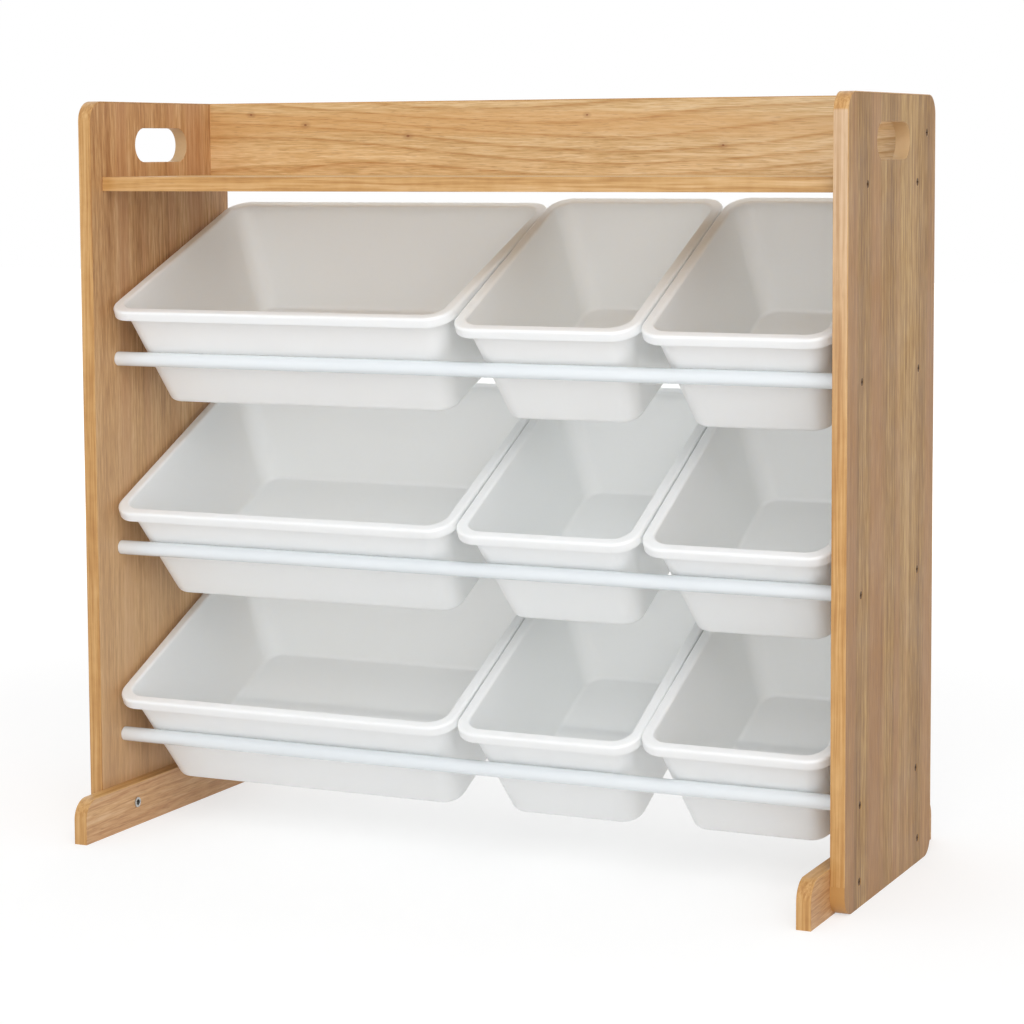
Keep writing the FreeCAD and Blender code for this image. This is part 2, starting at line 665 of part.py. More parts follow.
def add_fasteners():
    places = screw_places()
    for side, sign in SIDES:
        for held in ("rod", "shelf", "rail"):
            screws = [add_screw(f"{held}_screw_{side}_{i}", sign, y, z)
                      for i, (y, z) in enumerate(places[held])]
            add_group(f"{held}_screws_{side}", screws)
        feet = list(enumerate(places["foot"]))
        add_group(f"foot_bolts_{side}",
                  [add_bolt(f"foot_bolt_{side}_{i}", sign, y, z) for i, (y, z) in feet])
        add_group(f"foot_nuts_{side}",
                  [add_nut(f"foot_nut_{side}_{i}", sign, y, z) for i, (y, z) in feet])
        add_group(f"rod_end_plugs_{side}",
                  [add_plug(f"rod_end_plug_{side}_{i}", sign, y, z)
                   for i, (y, z) in enumerate(places["rod"])])
    for held, (y, z) in DOWEL_PLACES.items():
        add_group(f"{held}_dowels",
                  [add_dowel(f"{held}_dowel_{side}", sign, y, z) for side, sign in SIDES])


# ---------------------------------------------------------------- bins
def draw_bin_section(sketch, width, side_inset, end_inset, radius):
    """A rounded rectangle inside the rim's outline: X across, Y from the front rim back."""
    side = f"({width}) / 2 - ({side_inset}) - ({radius})"
    front = f"{end_inset} + {radius}"
    rear = f"bin_length - ({end_inset}) - ({radius})"
    centres = ((f"-({side})", front), (side, front), (side, rear), (f"-({side})", rear))
    draw_round_outline(sketch, centres, radius)


def wall_insets(depth, wall):
    """Insets of a wall's face under the rim's outline, at a depth below its top."""
    side = f"rim_reach + {depth} * tan(side_lean) + {wall} / cos(side_lean)"
    end = f"rim_reach + {depth} * tan(wall_lean) + {wall} / cos(wall_lean)"
    return side, end


def add_loft(body, kind, name, width, depth, wall):
    """A tapered block from the rim's top down to a depth, added or cut."""
    sections = []
    for place_name, level in (("upper", "0"), ("lower", depth)):
        sketch = add_sketch(body, f"{name}_{place_name}", "XY_Plane", f"-({level})")
        side, end = wall_insets(f"({level})", wall)
        draw_bin_section(sketch, width, side, end, f"(bin_corner - {wall})")
        sections.append(sketch)
    loft = body.newObject(kind, name)
    loft.Profile = sections[0]
    loft.Sections = [sections[1]]
    loft.Ruled = True
    doc.recompute()
    return loft


def add_bin(label, width, x, row, lean):
    """A loose bin. Its own origin is the middle of its front rim's top edge."""
    body = add_body(label)
    body.Placement.Rotation = FreeCAD.Rotation(FreeCAD.Vector(1, 0, 0), value(lean))
    rim = add_sketch(body, f"{label}_rim", "XY_Plane")
    draw_bin_section(rim, width, "0", "0", "rim_corner")
    add_pad(body, rim, "rim_height", along_normal=False)
    add_fillet(body, f"{label}_rim_edge", "rim_round", lambda e: at(e, z=0))
    under = add_sketch(body, f"{label}_rim_underside", "XY_Plane", "-rim_height")
    draw_bin_section(under, width, "rim_lip", "rim_lip", "(rim_corner - rim_lip)")
    add_cut(body, under, "rim_height - rim_top", along_normal=True)

    add_loft(body, "PartDesign::AdditiveLoft", f"{label}_walls", width, "bin_depth", "0")
    bottom = -value("bin_depth")
    add_fillet(body, f"{label}_bottom_edge", "floor_round", lambda e: at(e, z=bottom))
    add_loft(body, "PartDesign::SubtractiveLoft", f"{label}_cavity", width,
             "bin_depth - bin_wall", "bin_wall")
    floor = -value("bin_depth - bin_wall")
    add_fillet(body, f"{label}_floor_edge", "floor_round - bin_wall",
               lambda e: at(e, z=floor))
    inner_side = value(f"({width}) / 2 - rim_reach")
    inner_end = value("rim_reach")
    add_fillet(body, f"{label}_mouth_edge", "rim_round",
               lambda e: at(e, z=0) and abs(e.CenterOfMass.x) < inner_side
               and inner_end < e.CenterOfMass.y < value("bin_length") - inner_end)

    # The bottom touches the rear rod and the front wall the front rod, with the
    # seat gap between: along the bin, the rear rod lies this far from the front rim.
    drop = "(bin_depth + seat)"
    along = (f"(rod_span * cos({lean}) + rim_reach - seat / cos(wall_lean)"
             f" + tan(wall_lean) * ({drop} - rod_span * sin({lean})))")
    place(body, x, f"rod_rear - {along} * cos({lean}) - {drop} * sin({lean})",
          f"row_z_{row} - {along} * sin({lean}) + {drop} * cos({lean})")
    body.setExpression("Placement.Rotation.Angle", bound(lean))


def add_bins():
    small = "small_bin_width"
    large = "large_bin_width"
    starts = ("row_left", f"row_left + {large} + bin_gap",
              f"row_left + {large} + {small} + 2 * bin_gap")
    for label, row, place_in_row, _ in BINS:
        width = small if place_in_row else large
        x = f"{starts[place_in_row]} + {width} / 2"
        add_bin(label, width, x, row, f"lean_{label}")


# ---------------------------------------------------------------- the whole object
for name, number, meaning in DRIVING_SIZES:
    add_cell(name, str(number), meaning)
for name, formula, meaning in DERIVED_SIZES:
    add_cell(name, "=" + formula, meaning)
for name, _, _, lean in BINS:
    add_cell(f"lean_{name}", f"=min({lean}; full_lean)", f"lean of {name}, in degrees")
doc.recompute()

for side, sign in SIDES:
    add_panel(side, sign)
    add_panel_band(side, sign)
    add_foot(side, sign)
    add_foot_band(side, sign)
add_shelf()
add_strip("top_shelf_edge_band", "shelf_front", "shelf_top - board", "band", "board",
          lambda centre: near(centre.y, 0))
add_rail()
add_strip("back_rail_edge_band", "rail_rear - board", "panel_height - band", "board", "band",
          lambda centre: near(centre.z, value("band")))
for row in ROWS:
    add_rod(f"front_{row}", "rod_front", f"row_z_{row}")
    add_rod(f"rear_{row}", "rod_rear", f"row_z_{row}")
add_fasteners()
add_bins()
doc.recompute()

# ---------------------------------------------------------------- checks and files
NODES = (
    [f"side_panel_{side}" for side, _ in SIDES]
    + [f"side_panel_{side}_edge_band" for side, _ in SIDES]
    + [f"foot_{side}" for side, _ in SIDES]
    + [f"foot_{side}_edge_band" for side, _ in SIDES]
    + ["top_shelf", "top_shelf_edge_band", "back_rail", "back_rail_edge_band"]
    + [f"rod_{part}_{end}_{row}" for part in ("sleeve", "tube")
       for end in ("front", "rear") for row in ROWS]
    + [f"{kind}_{side}" for side, _ in SIDES
       for kind in ("rod_end_plugs", "rod_screws", "shelf_screws", "rail_screws",
                    "foot_bolts", "foot_nuts")]
    + ["shelf_dowels", "rail_dowels"]
    + [name for name, *_ in BINS]
)

for thing in doc.Objects:
    if {"Invalid", "Error"} & set(thing.State):
        raise RuntimeError(f"{thing.Name} failed: {thing.State}")

pieces = {label: doc.getObjectsByLabel(label)[0] for label in NODES}
for label, piece in pieces.items():
    if piece.Shape.isNull() or not piece.Shape.isValid() or not piece.Shape.Solids:
        raise RuntimeError(f"{label} has no valid solid")

os.makedirs("parts", exist_ok=True)
for label, piece in pieces.items():
    piece.Shape.exportStep(f"parts/{label}.step")

print(f"{len(pieces)} nodes written")
for name in ("row_pitch", "bin_depth", "bin_length", "large_bin_width", "full_lean"):
    print(name, round(value(name), 2))
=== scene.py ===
import math

import bpy
from mathutils import Matrix, Vector


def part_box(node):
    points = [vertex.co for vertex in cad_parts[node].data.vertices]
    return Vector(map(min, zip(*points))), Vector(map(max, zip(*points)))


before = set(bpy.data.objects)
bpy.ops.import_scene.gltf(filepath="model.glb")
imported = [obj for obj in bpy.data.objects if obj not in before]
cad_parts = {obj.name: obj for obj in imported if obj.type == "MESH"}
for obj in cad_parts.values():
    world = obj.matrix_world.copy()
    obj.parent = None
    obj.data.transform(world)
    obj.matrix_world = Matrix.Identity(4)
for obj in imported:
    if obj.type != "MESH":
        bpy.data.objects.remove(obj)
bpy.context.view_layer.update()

# Looks of a toy storage organizer: wood-print boards with banded edges, milky
# rods and nine white plastic bins. Metres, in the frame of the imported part:
# X to the right, Y to the back, Z up, with the origin on the floor.

X, Y, Z = 0, 1, 2

# ------------------------------------------------------------- the photograph's camera
IMAGE_SIZE = 1024
FOCAL_PIXELS = 2803.1
PRINCIPAL_X, PRINCIPAL_Y = 521.3, 398.8
CAMERA_PLACE = (1.2635, -2.648, 0.736)
CAMERA_AZIMUTH = math.radians(25.08)
CAMERA_PITCH = math.radians(5.11)
CAMERA_ROLL = math.radians(-0.31)
SENSOR = 36.0
SIGHT_LIMIT = 60.0


def add_camera():
    """The camera stands where the photograph was taken from."""
    data = bpy.data.cameras.new("camera")
    data.sensor_width = SENSOR
    data.lens = FOCAL_PIXELS / IMAGE_SIZE * SENSOR
    data.shift_x = (IMAGE_SIZE / 2 - PRINCIPAL_X) / IMAGE_SIZE
    data.shift_y = (PRINCIPAL_Y - IMAGE_SIZE / 2) / IMAGE_SIZE
    data.clip_end = SIGHT_LIMIT
    camera = bpy.data.objects.new("camera", data)
    bpy.context.scene.collection.objects.link(camera)
    sa, ca = math.sin(CAMERA_AZIMUTH), math.cos(CAMERA_AZIMUTH)
    sp, cp = math.sin(CAMERA_PITCH), math.cos(CAMERA_PITCH)
    back = Vector((sa * cp, -ca * cp, sp))
    right = Vector((ca, sa, 0))
    up = back.cross(right)
    turned = Matrix((right, up, back)).transposed() @ Matrix.Rotation(CAMERA_ROLL, 3, "Z")
    camera.matrix_world = Matrix.Translation(CAMERA_PLACE) @ turned.to_4x4()
    bpy.context.scene.camera = camera


# ------------------------------------------------------------------- node helpers
# The sockets that a Mix node uses when it mixes colours
MIX_FACTOR, MIX_FIRST, MIX_SECOND = 0, 6, 7
MIX_RESULT = 2
NOISE_MIDDLE = 0.5


def new_material(name):
    """An empty material with its tree and its Principled shader."""
    material = bpy.data.materials.new(name)
    material.use_nodes = True
    tree = material.node_tree
    return material, tree, tree.nodes["Principled BSDF"]


def add_node(tree, kind, inputs=None, **settings):
    """A node with its settings, and with each input set to a value or linked."""
    made = tree.nodes.new(kind)
    for key, setting in settings.items():
        setattr(made, key, setting)
    for key, content in (inputs or {}).items():
        if isinstance(content, bpy.types.NodeSocket):
            tree.links.new(content, made.inputs[key])
        else:
            made.inputs[key].default_value = content
    return made


def compute(tree, operation, first, second=0.0):
    """One arithmetic step on two values."""
    made = add_node(tree, "ShaderNodeMath", {0: first, 1: second}, operation=operation)
    return made.outputs[0]


def compute_vector(tree, operation, first, second):
    """One arithmetic step on two vectors, or on a vector and the scale for it."""
    key = "Scale" if operation == "SCALE" else 1
    made = add_node(tree, "ShaderNodeVectorMath", {0: first, key: second}, operation=operation)
    return made.outputs[0]


def vector_length(tree, vector):
    made = add_node(tree, "ShaderNodeVectorMath", {0: vector}, operation="LENGTH")
    return made.outputs["Value"]


def weighted_sum(tree, *parts):
    """A weighted sum of values."""
    total = None
    for level, weight in parts:
        part = compute(tree, "MULTIPLY", level, weight)
        total = part if total is None else compute(tree, "ADD", total, part)
    return total


def object_point(tree):
    return add_node(tree, "ShaderNodeTexCoord").outputs["Object"]


def coordinate(tree, axis):
    """The place of a point along one axis, in metres."""
    return add_node(tree, "ShaderNodeSeparateXYZ", {0: object_point(tree)}).outputs[axis]


def stretched(tree, point, along, across, axis, shift=(0, 0, 0)):
    """Coordinates that vary slowly along the grain's axis and fast across it."""
    scale = [across] * 3
    scale[axis] = along
    inputs = {"Vector": point, "Location": shift, "Scale": scale}
    return add_node(tree, "ShaderNodeMapping", inputs).outputs[0]


def noise_node(tree, vector, scale=1.0, detail=2.0, roughness=0.5):
    inputs = {"Vector": vector, "Scale": scale, "Detail": detail, "Roughness": roughness,
              "Distortion": 0.0}
    return add_node(tree, "ShaderNodeTexNoise", inputs)


def noise(tree, vector, scale=1.0, detail=2.0, roughness=0.5):
    """A noise's value, mostly from 0.3 to 0.7."""
    return noise_node(tree, vector, scale, detail, roughness).outputs[0]


def spread(tree, level, low, high, to_low=0.0, to_high=1.0, smooth=False):
    """A value mapped from one range to another and kept inside it."""
    inputs = {"Value": level, "From Min": low, "From Max": high,
              "To Min": to_low, "To Max": to_high}
    kind = "SMOOTHSTEP" if smooth else "LINEAR"
    return add_node(tree, "ShaderNodeMapRange", inputs, interpolation_type=kind).outputs[0]


def ramp(tree, level, stops):
    """A colour for each level, from (level, colour) stops."""
    made = add_node(tree, "ShaderNodeValToRGB", {0: level})
    elements = made.color_ramp.elements
    while len(elements) < len(stops):
        elements.new(0.5)
    for element, (position, colour) in zip(elements, stops):
        element.position = position
        element.color = (*colour, 1)
    return made.outputs[0]


def mix(tree, factor, first, second, blend="MIX"):
    """Two colours mixed. Each input is a socket or a plain value."""
    made = add_node(tree, "ShaderNodeMix", data_type="RGBA", blend_type=blend)
    for index, content in ((MIX_FACTOR, factor), (MIX_FIRST, first), (MIX_SECOND, second)):
        if isinstance(content, bpy.types.NodeSocket):
            tree.links.new(content, made.inputs[index])
        elif index == MIX_FACTOR:
            made.inputs[index].default_value = content
        else:
            made.inputs[index].default_value = (*content, 1)
    return made.outputs[MIX_RESULT]


def side_normal(tree, axis):
    """How much a surface faces along an axis, from 0 to 1."""
    normal = add_node(tree, "ShaderNodeTexCoord").outputs["Normal"]
    parts = add_node(tree, "ShaderNodeSeparateXYZ", {0: normal})
    return compute(tree, "ABSOLUTE", parts.outputs[axis])


def set_shader(shader, settings):
    """Plain values, set on the shader's own sockets."""
    for name, setting in settings.items():
        shader.inputs[name].default_value = setting


def set_colour(tree, shader, colour):
    tree.links.new(colour, shader.inputs["Base Color"])


def set_roughness(tree, shader, level, levels_from, roughness_to):
    """Roughness that follows a noise: from its range of levels to one of roughness."""
    tree.links.new(spread(tree, level, *levels_from, *roughness_to), shader.inputs["Roughness"])


def add_bump(tree, shader, height, distance, strength=1.0):
    """Relief of a given depth in metres, after any bump the shader already has."""
    inputs = {"Height": height, "Distance": distance, "Strength": strength}
    bump = add_node(tree, "ShaderNodeBump", inputs)
    if shader.inputs["Normal"].is_linked:
        tree.links.new(shader.inputs["Normal"].links[0].from_socket, bump.inputs["Normal"])
    tree.links.new(bump.outputs[0], shader.inputs["Normal"])


# ----------------------------------------------------------------- the wood's colours
SCREEN_WHITE = 255
SCREEN_GAMMA = 2.2


def tone(red, green, blue):
    """A colour written as it shows on a screen, 0 to 255, for a shader."""
    return tuple((part / SCREEN_WHITE) ** SCREEN_GAMMA for part in (red, green, blue))


def grey(level):
    return (level,) * 3


# Prints: the grain's darkest, middle and lightest tones, and a tint for broad streaks
HONEY = (tone(179, 138, 82), tone(212, 175, 123), tone(232, 202, 156))
HONEY_TINT = tone(210, 161, 102)
# The right panel's olive tones are painted shade: the two panels are one laminate, and the right
# panel's outer face is painted darker than the left panel's.
SHADED_PANEL_TONES = (tone(122, 86, 44), tone(156, 116, 62), tone(193, 156, 100))
SHADED_PANEL_TINT = tone(169, 122, 81)
# On the left panel these brown tones are painted light: its inner face is painted brighter and
# warmer for the front light and the bins' bounce.
BROWN = (tone(158, 112, 72), tone(193, 148, 101), tone(218, 181, 138))
FOOT_BROWN = (tone(165, 120, 79), tone(207, 163, 116), tone(229, 195, 152))
BROWN_TINT = tone(185, 136, 97)
BEECH = (tone(190, 155, 114), tone(206, 173, 134), tone(217, 188, 151))

PORE = tone(130, 85, 51)
KNOT = tone(124, 71, 43)
RING_LINE = tone(183, 126, 75)
SLOT_TAN = tone(194, 160, 118)

# Edge banding: its dark, middle and light tones
BAND_GOLD = (tone(166, 116, 63), tone(191, 143, 85), tone(209, 165, 109))
BAND_LYING = (tone(171, 121, 66), tone(197, 149, 90), tone(214, 170, 117))
BAND_PALE = (tone(187, 151, 114), tone(202, 169, 135), tone(213, 184, 153))

# What a colour is multiplied by
PALER = (0.99, 1.08, 1.28)
LIGHTER = (1.09, 1.10, 1.12)

# ------------------------------------------------------------- the wood's grain
# Streaks are given as how many there are to the metre, along the grain and across it.
# A reach is how far a noise strays from its middle where a streak is full.
STREAK_ROUGHNESS = 0.6
STREAK_REACH = 0.17
WANDER = 0.016
SLOW_WANDER = (1.6, 5.0)
QUICK_WANDER = (12.0, 30.0)
QUICK_WANDER_REACH = 0.0025
BROAD = (0.9, 30)
NARROW_ALONG, NARROW_REACH = 5.0, 0.14
FINE_ALONG = 34
PORES_ALONG = 70
PORES_PER_LINE = 1.4
PORE_LEVELS = (0.57, 0.71)
PORE_STRENGTH = 0.45
PORES_IN_DARK, PORES_IN_LIGHT = 0.75, 0.25
TINTED, TINTED_REACH = (0.4, 26), 0.10
TINTED_SHIFT = 3.7
TINTED_FROM = 0.45
TINT_STRENGTH = 0.5

# Growth rings: flat-sawn figure, as waves added to a steady count across the board
RING_WAVES = (1.5, 11)
RINGS_PER_WAVE = 8.0
RINGS_PER_METRE = 55.0
RING_TONES = ((0.0, grey(0.25)), (0.12, grey(0.75)), (0.62, grey(0.60)), (1.0, grey(0.15)))
RING_LINE_FROM = 0.78
RING_LINE_STRENGTH = 0.7
RING_LINE_IN_GRAIN = 0.3

# The share of each kind of streak in the grain's tone, without figure and with all of it
BROAD_SHARE = (0.34, 0.52)
NARROW_SHARE = (0.30, 0.14)
FINE_SHARE = (0.36, 0.32)
TONE_LEVELS = (0.14, 0.5, 0.86)

NOISE_LEVELS = (0.3, 0.7)
WOOD_ROUGHNESS = (0.42, 0.54)
WOOD_PATCHES = 14
WOOD_SPECULAR = 0.4
WOOD_RELIEF = 0.00012
RELIEF_STRENGTH = 0.5


def wavy_point(tree, axis, amount, shift):
    """Object coordinates pushed about a little, so that the grain wanders."""
    point = object_point(tree)
    for (along, across), reach in ((SLOW_WANDER, amount), (QUICK_WANDER, QUICK_WANDER_REACH)):
        slow = noise_node(tree, stretched(tree, point, along, across, axis, shift), detail=1.0)
        push = compute_vector(tree, "SUBTRACT", slow.outputs["Color"], grey(NOISE_MIDDLE))
        scaled = compute_vector(tree, "SCALE", push, reach)
        point = compute_vector(tree, "ADD", point, scaled)
    return point


def streaks(tree, point, axis, along, across, shift, detail=2.0, reach=STREAK_REACH):
    """Streaks along the grain, from 0 to 1, with so many to the metre each way."""
    made = noise(tree, stretched(tree, point, along, across, axis, shift), detail=detail,
                 roughness=STREAK_ROUGHNESS)
    return spread(tree, made, NOISE_MIDDLE - reach, NOISE_MIDDLE + reach)


def ticks(tree, point, axis, along, across, shift, visible):
    """Short dark ticks, as pores are. Visible is the range of the noise that shows."""
    made = noise(tree, stretched(tree, point, along, across, axis, shift), detail=1.0)
    return spread(tree, made, *visible)


def growth_rings(tree, point, axis, shift):
    """The place between one growth ring and the next, from 0 to 1, across the board."""
    waves = noise(tree, stretched(tree, point, *RING_WAVES, axis, shift), detail=0.6)
    parts = add_node(tree, "ShaderNodeSeparateXYZ", {0: point}).outputs
    across = compute(tree, "ADD", *[parts[other] for other in (X, Y, Z) if other != axis])
    count = weighted_sum(tree, (waves, RINGS_PER_WAVE), (across, RINGS_PER_METRE))
    return compute(tree, "FRACT", count)


def share(ends, figure):
    """A streak's share in the tone, between the ends for no figure and for full figure."""
    plain, figured = ends
    return plain + (figured - plain) * figure


def wood(name, axis, tones, tint, shift, fineness=400, figure=0.0, wander=WANDER,
         streak=NARROW_ALONG):
    """Wood-print laminate.

    Figure is how much flat-sawn figure there is, from 0 to 1. Fineness is the number of
    grain lines to the metre, and streak the number of narrow streaks to the metre along them.
    """
    material, tree, shader = new_material(name)
    point = wavy_point(tree, axis, wander, shift)
    broad = streaks(tree, point, axis, *BROAD, shift)
    narrow = streaks(tree, point, axis, streak, fineness / 2, shift, reach=NARROW_REACH)
    fine = streaks(tree, point, axis, FINE_ALONG, fineness, shift)
    pores = ticks(tree, point, axis, PORES_ALONG, PORES_PER_LINE * fineness, shift, PORE_LEVELS)
    rings = growth_rings(tree, point, axis, shift)

    figured = mix(tree, figure, broad, ramp(tree, rings, RING_TONES))
    level = weighted_sum(tree, (figured, share(BROAD_SHARE, figure)),
                   (narrow, share(NARROW_SHARE, figure)), (fine, share(FINE_SHARE, figure)))
    colour = ramp(tree, level, tuple(zip(TONE_LEVELS, tones)))

    tinted = streaks(tree, point, axis, *TINTED, [part + TINTED_SHIFT for part in shift],
                     reach=TINTED_REACH)
    colour = mix(tree, spread(tree, tinted, TINTED_FROM, 1.0, 0.0, TINT_STRENGTH), colour, tint)
    ring_end = spread(tree, rings, RING_LINE_FROM, 1.0, 0.0, RING_LINE_STRENGTH * figure)
    broken = spread(tree, fine, 0.0, 1.0, 1.0, RING_LINE_IN_GRAIN)
    colour = mix(tree, compute(tree, "MULTIPLY", ring_end, broken), colour, RING_LINE)
    in_dark = spread(tree, broad, 0.0, 1.0, PORES_IN_DARK, PORES_IN_LIGHT)
    shown = compute(tree, "MULTIPLY", compute(tree, "MULTIPLY", pores, in_dark), PORE_STRENGTH)
    colour = mix(tree, shown, colour, PORE)

    set_colour(tree, shader, colour)
    patches = noise(tree, object_point(tree), scale=WOOD_PATCHES, detail=3.0)
    set_roughness(tree, shader, patches, NOISE_LEVELS, WOOD_ROUGHNESS)
    set_shader(shader, {"Specular IOR Level": WOOD_SPECULAR})
    add_bump(tree, shader, compute(tree, "SUBTRACT", fine, pores), WOOD_RELIEF, RELIEF_STRENGTH)
    return material, tree, shader, colour


def board_wood(*settings, **more):
    """A board with the same print all over."""
    return wood(*settings, **more)[0]


# ------------------------------------------------------------------------- the rail
PALER_FROM, PALER_TO = -0.3, 0.4
LIGHTER_BELOW, LIGHTER_ABOVE = -0.02, 0.015
LIGHTER_WAVES = (2.5, 12)
LIGHTER_WAVE_LEVELS = (0.2, 0.8)
LIGHTER_WAVE_HEIGHT = 0.04

# Knots in the rail: along, up and radius
KNOTS = ((-0.359, 0.775, 0.0016), (-0.289, 0.763, 0.0018), (-0.160, 0.750, 0.0020),
         (0.055, 0.771, 0.0014), (0.210, 0.738, 0.0016))
KNOT_SQUASH = (0.6, 0, 1.0)
KNOT_CORE, KNOT_CORE_STRENGTH = 0.3, 0.8
KNOT_HALO, KNOT_HALO_STRENGTH = 3.0, 0.25


def add_knots(tree, colour):
    """A few small dark knots, longer along the rail than they are high."""
    point = object_point(tree)
    for along, up, radius in KNOTS:
        away = compute_vector(tree, "SUBTRACT", point, (along, 0, up))
        away = vector_length(tree, compute_vector(tree, "MULTIPLY", away, KNOT_SQUASH))
        halo = spread(tree, away, radius, KNOT_HALO * radius, KNOT_HALO_STRENGTH, 0.0,
                      smooth=True)
        core = spread(tree, away, KNOT_CORE * radius, radius, KNOT_CORE_STRENGTH, 0.0,
                      smooth=True)
        colour = mix(tree, compute(tree, "MAXIMUM", halo, core), colour, KNOT)
    return colour


def paler_to_the_right(tree, colour):
    """Paler and bluer towards the right, along the object's width."""
    paler = mix(tree, 1.0, colour, PALER, "MULTIPLY")
    return mix(tree, spread(tree, coordinate(tree, X), PALER_FROM, PALER_TO), colour, paler)


def lighter_below(tree, colour, middle, shift):
    """The print's lighter tone below a wavy line at about a given height."""
    waves = noise(tree, stretched(tree, object_point(tree), *LIGHTER_WAVES, X, shift))
    waves = spread(tree, waves, *LIGHTER_WAVE_LEVELS, -LIGHTER_WAVE_HEIGHT, LIGHTER_WAVE_HEIGHT)
    level = compute(tree, "ADD", coordinate(tree, Z), waves)
    below = spread(tree, level, middle + LIGHTER_BELOW, middle + LIGHTER_ABOVE, 1.0, 0.0,
                   smooth=True)
    return mix(tree, below, colour, mix(tree, 1.0, colour, LIGHTER, "MULTIPLY"))


def rail_wood(name, tones, tint, shift):
    """The back rail's print, with figure and small knots, lighter below its middle."""
    material, tree, shader, colour = wood(name, X, tones, tint, shift, fineness=760,
                                          figure=0.8, wander=0.04, streak=6.0)
    low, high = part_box("back_rail")
    colour = lighter_below(tree, colour, (low[Z] + high[Z]) / 2, shift)
    colour = paler_to_the_right(tree, colour)
    set_colour(tree, shader, add_knots(tree, colour))
    return material


# ------------------------------------------------------------------- the side panels
PANEL_FINENESS = 480
PANEL_EDGE = (0.6, 0.8)
# Heights over which the painted light on a panel's lower part fades out upwards
PANEL_PAINTED_LIGHT_HEIGHTS = (0.25, 0.65)
GOLD_EDGE_HEIGHTS = (0.30, 0.31)


def panel_wood(name, tones, tint, shift, paler=0.0):
    """A side panel: wood on its two faces, tan inside the hand slot, gold at its foot.

    Paler is how far the panel is painted lighter from the middle down, from 0 to 1, as painted
    light on its lower part.
    """
    material, tree, shader, colour = wood(name, Z, tones, tint, shift, PANEL_FINENESS)
    height = coordinate(tree, Z)
    # Painted light: the panel's lower part is painted lighter, towards its lightest tone.
    painted_light_below = spread(tree, height, *PANEL_PAINTED_LIGHT_HEIGHTS, paler, 0.0, smooth=True)
    colour = mix(tree, painted_light_below, colour, tones[-1])
    low = spread(tree, height, *GOLD_EDGE_HEIGHTS, 1.0, 0.0)
    bare = mix(tree, low, SLOT_TAN, BAND_GOLD[1])
    edge = spread(tree, side_normal(tree, X), *PANEL_EDGE, 1.0, 0.0)
    set_colour(tree, shader, mix(tree, edge, colour, bare))
    return material


# ----------------------------------------------------------------------- the banding
BAND_WANDER = 0.006
BAND_SLOW = (2.2, 110)
BAND_FINE, BAND_FINE_REACH = (9.0, 420), 0.13
BAND_PORES = (60, 900)
BAND_PORE_LEVELS = (0.62, 0.72)
BAND_PORE_STRENGTH = 0.16
BAND_MOTTLE = 60
BAND_SHARES = (0.34, 0.34, 0.32)
BAND_LEVELS = (0.20, 0.5, 0.80)
BAND_END = (0.66, 0.76)
PALE_BAND_HEIGHTS = (0.38, 0.74)
PALE_BAND_FRONT = (0.975, 0.992)
BAND_ROUGHNESS = (0.34, 0.44)
BAND_PATCHES = 20
BAND_SPECULAR = 0.5
BAND_RELIEF = 0.00006


def band_grain(tree, axis, shift):
    """The banding's tone, fine streaks and pores, with the grain along one axis."""
    point = wavy_point(tree, axis, BAND_WANDER, shift)
    slow = streaks(tree, point, axis, *BAND_SLOW, shift, detail=3.0)
    fine = streaks(tree, point, axis, *BAND_FINE, shift, reach=BAND_FINE_REACH)
    mottle = noise(tree, point, scale=BAND_MOTTLE, detail=3.0)
    pores = ticks(tree, point, axis, *BAND_PORES, shift, BAND_PORE_LEVELS)
    return weighted_sum(tree, *zip((slow, fine, mottle), BAND_SHARES)), fine, pores


def band_wood(name, axis, shift, tones=BAND_GOLD, turned=None, pale=0.0, changing=False):
    """Glossier golden edge banding, with long soft streaks.

    Turned is the axis that the grain takes where the band goes round the board's end.
    Pale is how far the upper straight part of the flat front face turns paler, from 0 to 1. A
    changing band becomes paler along its length.
    """
    material, tree, shader = new_material(name)
    level, fine, pores = band_grain(tree, axis, shift)
    if turned is not None:
        at_the_end = spread(tree, side_normal(tree, axis), *BAND_END)
        pairs = zip((level, fine, pores), band_grain(tree, turned, shift))
        level, fine, pores = [mix(tree, at_the_end, *pair) for pair in pairs]
    colour = ramp(tree, level, tuple(zip(BAND_LEVELS, tones)))
    if pale:
        upper = spread(tree, coordinate(tree, Z), *PALE_BAND_HEIGHTS, 0.0, pale, smooth=True)
        front = spread(tree, side_normal(tree, Y), *PALE_BAND_FRONT)
        pale_tones = ramp(tree, level, tuple(zip(BAND_LEVELS, BAND_PALE)))
        colour = mix(tree, compute(tree, "MULTIPLY", upper, front), colour, pale_tones)
    if changing:
        colour = paler_to_the_right(tree, colour)
    colour = mix(tree, compute(tree, "MULTIPLY", pores, BAND_PORE_STRENGTH), colour, PORE)
    set_colour(tree, shader, colour)
    patches = noise(tree, object_point(tree), scale=BAND_PATCHES, detail=3.0)
    set_roughness(tree, shader, patches, NOISE_LEVELS, BAND_ROUGHNESS)
    set_shader(shader, {"Specular IOR Level": BAND_SPECULAR})
    add_bump(tree, shader, fine, BAND_RELIEF, RELIEF_STRENGTH)
    return material


# ---------------------------------------------------------------------- plastics
CLOUD_LEVELS = (0.1, 0.9)

# The denoiser takes a surface as shiny below a roughness of about 0.274 and as dull
# above it, so each of these maps stays on one side and shows no edge.
BIN_ROUGHNESS = (0.29, 0.37)
ROD_ROUGHNESS = (0.20, 0.26)

BIN_WHITE = (0.960, 0.980, 0.972)
BIN_CREAM = (0.952, 0.972, 0.962)
BIN_CLOUDS = 6
BIN_SPECKS, BIN_SPECK_RELIEF = 700, 0.00004
BIN_WAVES, BIN_WAVE_RELIEF, BIN_WAVE_STRENGTH = 35, 0.0002, 0.25
BIN_BODY = {"Subsurface Weight": 0.85, "Subsurface Radius": (1.0, 0.97, 0.92),
            "Subsurface Scale": 0.006}


